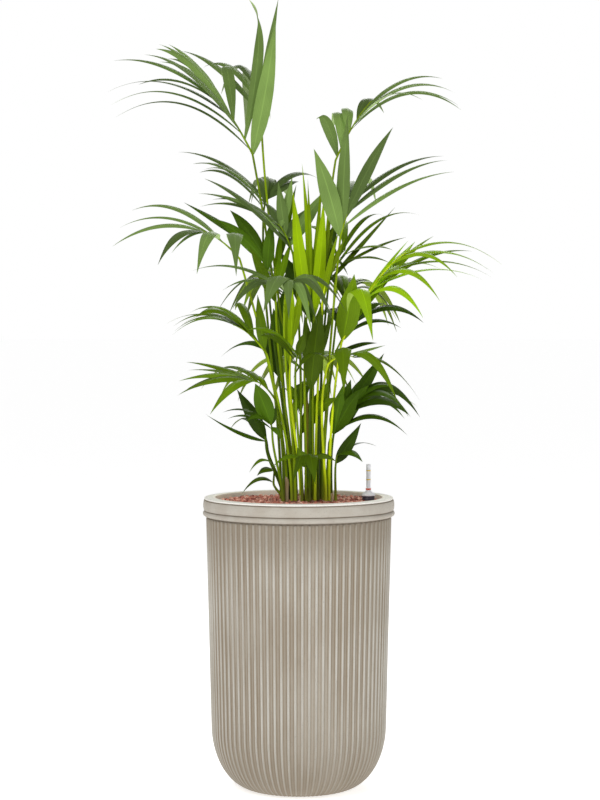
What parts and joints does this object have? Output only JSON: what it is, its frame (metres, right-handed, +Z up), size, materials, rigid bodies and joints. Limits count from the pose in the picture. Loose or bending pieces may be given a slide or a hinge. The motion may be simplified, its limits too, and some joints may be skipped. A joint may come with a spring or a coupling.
{
  "type": "kentia palm in a fluted planter",
  "caption": "Kentia palm clump with feathered arching fronds, in a tall fluted round planter with a banded rim, filled with clay granules and with a water-level gauge.",
  "frame": {"origin": "centre of the planter's flat underside", "axes": "+Z up along the planter's axis; -Y is the front, where the plant is seen from; +X is the right as seen from the front"},
  "size_m": [0.9812, 0.9, 1.948],
  "materials": {
    "planter": "matt cast stone look, washed brown between the ribs",
    "granules": "matt fired clay",
    "gauge_base": "satin",
    "gauge_clear": "clear",
    "gauge_float": "satin",
    "stem": "smooth green bark, satin",
    "leaf_grey": "greyish green, satin",
    "leaf_mid": "mid green, satin",
    "leaf_dark": "dark green, satin",
    "leaf_green": "fresh mid green, satin",
    "leaf_bright": "bright yellow green, satin",
    "leaf_fresh": "fresh yellow green, satin"
  },
  "bodies": {
    "root": {"planter": "planter", "granules": "granules", "gauge_base": "gauge_base", "gauge_tube": "gauge_clear", "gauge_float": "gauge_float", "stem_left": "stem", "stem_mid_left": "stem", "stem_centre": "stem", "stem_mid_right": "stem", "stem_right": "stem", "crown_left": "leaf_grey", "crown_back": "leaf_grey", "right_high": "leaf_grey", "right_fan": "leaf_grey", "right_dark": "leaf_mid", "right_bright": "leaf_bright", "new_left": "leaf_fresh", "new_mid": "leaf_fresh", "new_right": "leaf_fresh", "new_low": "leaf_fresh", "left_long": "leaf_grey", "left_high": "leaf_grey", "left_mid": "leaf_grey", "left_dark": "leaf_dark", "left_bright": "leaf_green", "mid_front": "leaf_grey", "left_arch": "leaf_mid", "low_mid": "leaf_mid", "centre_dark": "leaf_dark", "inner_back": "leaf_dark", "inner_left": "leaf_dark", "low_centre": "leaf_dark", "right_mid": "leaf_mid", "right_low": "leaf_dark", "right_arch": "leaf_dark", "left_low": "leaf_mid", "left_small": "leaf_dark", "left_foot": "leaf_dark", "low_left": "leaf_mid", "low_front": "leaf_dark", "low_right": "leaf_dark", "back_low": "leaf_mid", "back_mid": "leaf_dark", "back_right": "leaf_mid"}
  },
  "joints": []
}
